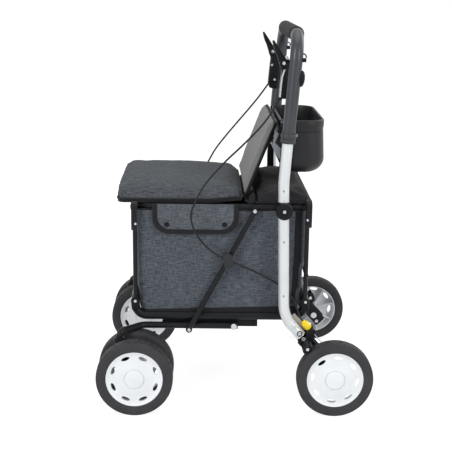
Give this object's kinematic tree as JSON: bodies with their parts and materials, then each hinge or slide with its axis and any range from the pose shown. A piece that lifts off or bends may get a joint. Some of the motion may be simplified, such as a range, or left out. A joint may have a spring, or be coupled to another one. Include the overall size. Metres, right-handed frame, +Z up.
{
  "type": "shopping rollator",
  "caption": "Folding shopping rollator with padded seat, under-seat bag, tilting backrest, rear tub, sliding push handle with brake levers, braked rear wheels and twin swivel casters.",
  "frame": {"origin": "middle of the footprint, on the floor under the wheels", "axes": "+X points to the rear, where the user walks; -X is the front with the twin casters; +Y is the user's right when walking behind it towards -X; +Z is up"},
  "size_m": [0.613, 0.546, 0.8475],
  "materials": {
    "aluminium_tube": "satin silver anodised tube",
    "steel": "plain turned steel",
    "black_plastic": "moulded black plastic",
    "black_tube": "satin black painted metal",
    "foam": "closed-cell foam grip",
    "rim_plastic": "white moulded plastic",
    "tyre_rubber": "dark grey tyre rubber",
    "bag_fabric": "grey melange woven fabric with dark piping",
    "cushion_cover": "dark grey padded cover",
    "backrest_cover": "grey padded cover",
    "lid_fabric": "black bound fabric",
    "basket_plastic": "black moulded plastic",
    "adjuster_plastic": "yellow knurled plastic",
    "cable_sheath": "black cable sheath"
  },
  "bodies": {
    "rear_frame": {"lower_post_left": "aluminium_tube", "lower_post_right": "aluminium_tube", "upper_post_left": "aluminium_tube", "upper_post_right": "aluminium_tube", "pivot_cap_left": "black_plastic", "pivot_cap_right": "black_plastic", "rear_bracket_left": "black_tube", "rear_bracket_right": "black_tube", "rear_axle_left": "steel", "rear_axle_right": "steel", "brake_cable_left": "cable_sheath", "brake_cable_right": "cable_sheath", "basket_hanger": "black_tube"},
    "handle": {"handle_tube": "black_tube", "foam_grip": "foam", "height_collar_left": "black_plastic", "height_collar_right": "black_plastic", "lever_housing_left": "black_plastic", "lever_housing_right": "black_plastic"},
    "basket_tub": {"basket": "basket_plastic"},
    "seat": {"seat_ring": "black_tube", "seat_pan": "black_plastic", "seat_cushion": "cushion_cover", "bag_lid": "lid_fabric", "bag": "bag_fabric"},
    "backrest": {"backrest_board": "black_plastic", "backrest_pad": "backrest_cover"},
    "deck": {"base_frame": "black_tube", "carrier_tray": "black_plastic"},
    "front_link": {"front_stay": "black_tube"},
    "rear_link": {"rear_stay": "black_tube"},
    "lever_left": {"brake_lever_left": "black_plastic"},
    "brake_left": {"brake_shoe_left": "black_plastic"},
    "adjuster_left": {"cable_adjuster_left": "adjuster_plastic"},
    "rear_wheel_left": {"rear_tyre_left": "tyre_rubber", "rear_rim_left": "rim_plastic"},
    "strut_link_left": {"strut_left": "black_tube", "cable_clip_left": "black_plastic"},
    "arm_left": {"caster_arm_left": "black_tube"},
    "caster_left": {"caster_fork_left": "black_plastic", "front_axle_left": "steel"},
    "outer_wheel_left": {"front_tyre_outer_left": "tyre_rubber", "front_rim_outer_left": "rim_plastic"},
    "inner_wheel_left": {"front_tyre_inner_left": "tyre_rubber", "front_rim_inner_left": "rim_plastic"},
    "lever_right": {"brake_lever_right": "black_plastic"},
    "brake_right": {"brake_shoe_right": "black_plastic"},
    "adjuster_right": {"cable_adjuster_right": "adjuster_plastic"},
    "rear_wheel_right": {"rear_tyre_right": "tyre_rubber", "rear_rim_right": "rim_plastic"},
    "strut_link_right": {"strut_right": "black_tube", "cable_clip_right": "black_plastic"},
    "arm_right": {"caster_arm_right": "black_tube"},
    "caster_right": {"caster_fork_right": "black_plastic", "front_axle_right": "steel"},
    "outer_wheel_right": {"front_tyre_outer_right": "tyre_rubber", "front_rim_outer_right": "rim_plastic"},
    "inner_wheel_right": {"front_tyre_inner_right": "tyre_rubber", "front_rim_inner_right": "rim_plastic"}
  },
  "joints": [
    {"name": "handle_height", "type": "slide", "parent": "rear_frame", "child": "handle", "axis": [0.0732, 0, 0.9973], "range_m": [0, 0.1]},
    {"name": "basket_lift", "type": "slide", "parent": "rear_frame", "child": "basket_tub", "axis": [0, 0, 1], "range_m": [0, 0.05]},
    {"name": "frame_fold", "type": "hinge", "parent": "rear_frame", "child": "seat", "pos_m": [0.103, 0, 0.455], "axis": [0, 1, 0], "range_deg": [0, 40], "deforming": ["bag", "brake_cable_left", "brake_cable_right"]},
    {"name": "backrest_tilt", "type": "hinge", "parent": "seat", "child": "backrest", "pos_m": [0.036, 0, 0.478], "axis": [0, 1, 0], "range_deg": [-50.2, 0]},
    {"name": "deck_swing", "type": "hinge", "parent": "rear_frame", "child": "deck", "pos_m": [0.1085, 0, 0.241], "axis": [0, 1, 0], "range_deg": [0, 40.4]},
    {"name": "front_link_swing", "type": "hinge", "parent": "seat", "child": "front_link", "pos_m": [-0.229, 0, 0.455], "axis": [0, 1, 0], "range_deg": [-40.4, 0]},
    {"name": "rear_link_swing", "type": "hinge", "parent": "seat", "child": "rear_link", "pos_m": [0.1525, 0, 0.455], "axis": [0, 1, 0], "range_deg": [-40.4, 0]},
    {"name": "lever_squeeze_left", "type": "hinge", "parent": "handle", "child": "lever_left", "pos_m": [0.096, -0.179, 0.771], "axis": [0, 1, 0], "range_deg": [0, 22], "stiffness_Nm_per_rad": 0.6},
    {"name": "brake_press_left", "type": "hinge", "parent": "rear_frame", "child": "brake_left", "pos_m": [0.213, -0.2244, 0.128], "axis": [0, 1, 0], "range_deg": [-9.5, 0]},
    {"name": "adjuster_turn_left", "type": "hinge", "parent": "rear_frame", "child": "adjuster_left", "pos_m": [0.16093, -0.205, 0.19095], "axis": [0.6647, 0, -0.7471], "continuous": true},
    {"name": "rear_wheel_spin_left", "type": "hinge", "parent": "rear_frame", "child": "rear_wheel_left", "pos_m": [0.2215, -0.255, 0.085], "axis": [0, 1, 0], "continuous": true},
    {"name": "strut_swing_left", "type": "hinge", "parent": "seat", "child": "strut_link_left", "pos_m": [0.041, -0.183, 0.4475], "axis": [0, 1, 0], "range_deg": [-37.2, 0]},
    {"name": "arm_swing_left", "type": "hinge", "parent": "deck", "child": "arm_left", "pos_m": [-0.001, -0.17, 0.181], "axis": [0, 1, 0], "range_deg": [-60.6, 0]},
    {"name": "caster_swivel_left", "type": "hinge", "parent": "arm_left", "child": "caster_left", "pos_m": [-0.2575, -0.218, 0.15], "axis": [0, 0, 1], "continuous": true},
    {"name": "outer_wheel_spin_left", "type": "hinge", "parent": "caster_left", "child": "outer_wheel_left", "pos_m": [-0.2215, -0.255, 0.085], "axis": [0, 1, 0], "continuous": true},
    {"name": "inner_wheel_spin_left", "type": "hinge", "parent": "caster_left", "child": "inner_wheel_left", "pos_m": [-0.2215, -0.181, 0.085], "axis": [0, 1, 0], "continuous": true},
    {"name": "lever_squeeze_right", "type": "hinge", "parent": "handle", "child": "lever_right", "pos_m": [0.096, 0.179, 0.771], "axis": [0, 1, 0], "range_deg": [0, 22], "stiffness_Nm_per_rad": 0.6},
    {"name": "brake_press_right", "type": "hinge", "parent": "rear_frame", "child": "brake_right", "pos_m": [0.213, 0.2244, 0.128], "axis": [0, 1, 0], "range_deg": [-9.5, 0]},
    {"name": "adjuster_turn_right", "type": "hinge", "parent": "rear_frame", "child": "adjuster_right", "pos_m": [0.16093, 0.205, 0.19095], "axis": [0.6647, 0, -0.7471], "continuous": true},
    {"name": "rear_wheel_spin_right", "type": "hinge", "parent": "rear_frame", "child": "rear_wheel_right", "pos_m": [0.2215, 0.255, 0.085], "axis": [0, 1, 0], "continuous": true},
    {"name": "strut_swing_right", "type": "hinge", "parent": "seat", "child": "strut_link_right", "pos_m": [0.041, 0.183, 0.4475], "axis": [0, 1, 0], "range_deg": [-37.2, 0]},
    {"name": "arm_swing_right", "type": "hinge", "parent": "deck", "child": "arm_right", "pos_m": [-0.001, 0.17, 0.181], "axis": [0, 1, 0], "range_deg": [-60.6, 0]},
    {"name": "caster_swivel_right", "type": "hinge", "parent": "arm_right", "child": "caster_right", "pos_m": [-0.2575, 0.218, 0.15], "axis": [0, 0, 1], "continuous": true},
    {"name": "outer_wheel_spin_right", "type": "hinge", "parent": "caster_right", "child": "outer_wheel_right", "pos_m": [-0.2215, 0.255, 0.085], "axis": [0, 1, 0], "continuous": true},
    {"name": "inner_wheel_spin_right", "type": "hinge", "parent": "caster_right", "child": "inner_wheel_right", "pos_m": [-0.2215, 0.181, 0.085], "axis": [0, 1, 0], "continuous": true}
  ],
  "couplings": [
    {"joint": "backrest_tilt", "follows": "frame_fold", "ratio": -1.245},
    {"joint": "deck_swing", "follows": "frame_fold", "ratio": 1},
    {"joint": "front_link_swing", "follows": "frame_fold", "ratio": -1},
    {"joint": "rear_link_swing", "follows": "frame_fold", "ratio": -1},
    {"joint": "brake_press_left", "follows": "lever_squeeze_left", "ratio": -0.42},
    {"joint": "strut_swing_left", "follows": "frame_fold", "ratio": -0.9212},
    {"joint": "arm_swing_left", "follows": "frame_fold", "ratio": -1.5047},
    {"joint": "brake_press_right", "follows": "lever_squeeze_right", "ratio": -0.42},
    {"joint": "strut_swing_right", "follows": "frame_fold", "ratio": -0.9212},
    {"joint": "arm_swing_right", "follows": "frame_fold", "ratio": -1.5047}
  ]
}
